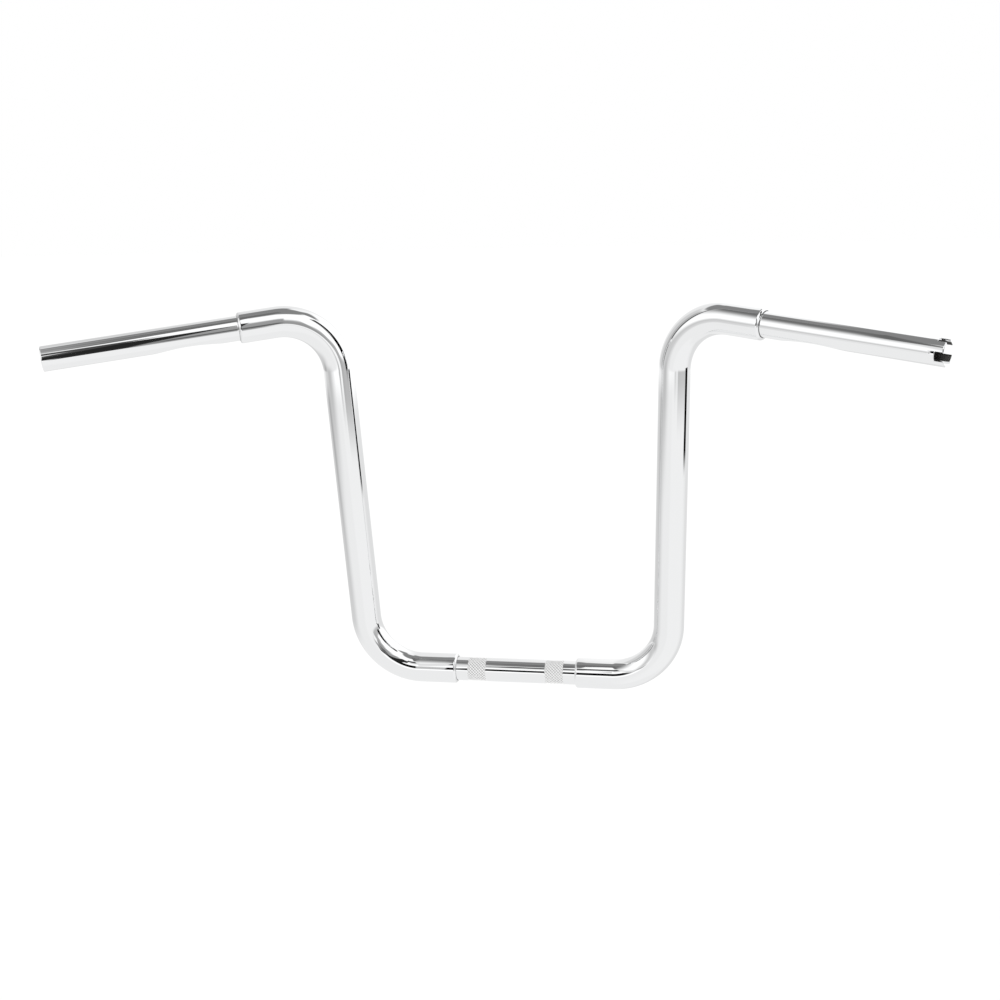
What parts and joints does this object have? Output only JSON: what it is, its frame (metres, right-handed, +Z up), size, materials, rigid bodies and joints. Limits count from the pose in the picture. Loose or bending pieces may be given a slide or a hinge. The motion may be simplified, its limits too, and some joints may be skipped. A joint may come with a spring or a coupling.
{
  "type": "ape hanger handlebar",
  "caption": "Tall chrome motorbike handlebar of two bent side tubes, with a knurled clamp tube at the bottom and slimmer grip tubes at the top.",
  "frame": {"origin": "middle of the clamp tube, on its axis", "axes": "+X to the rider's right along the clamp tube, +Y forward, +Z up; the risers stand in the XZ plane and the grips sweep back towards -Y"},
  "size_m": [0.8788, 0.1507, 0.4199],
  "materials": {
    "chrome": "mirror-polished chrome plate on steel tube; bare grey steel inside"
  },
  "bodies": {
    "root": {"clamp_tube": "chrome", "left_side_tube": "chrome", "right_side_tube": "chrome", "left_grip_tube": "chrome", "right_grip_tube": "chrome"}
  },
  "joints": []
}
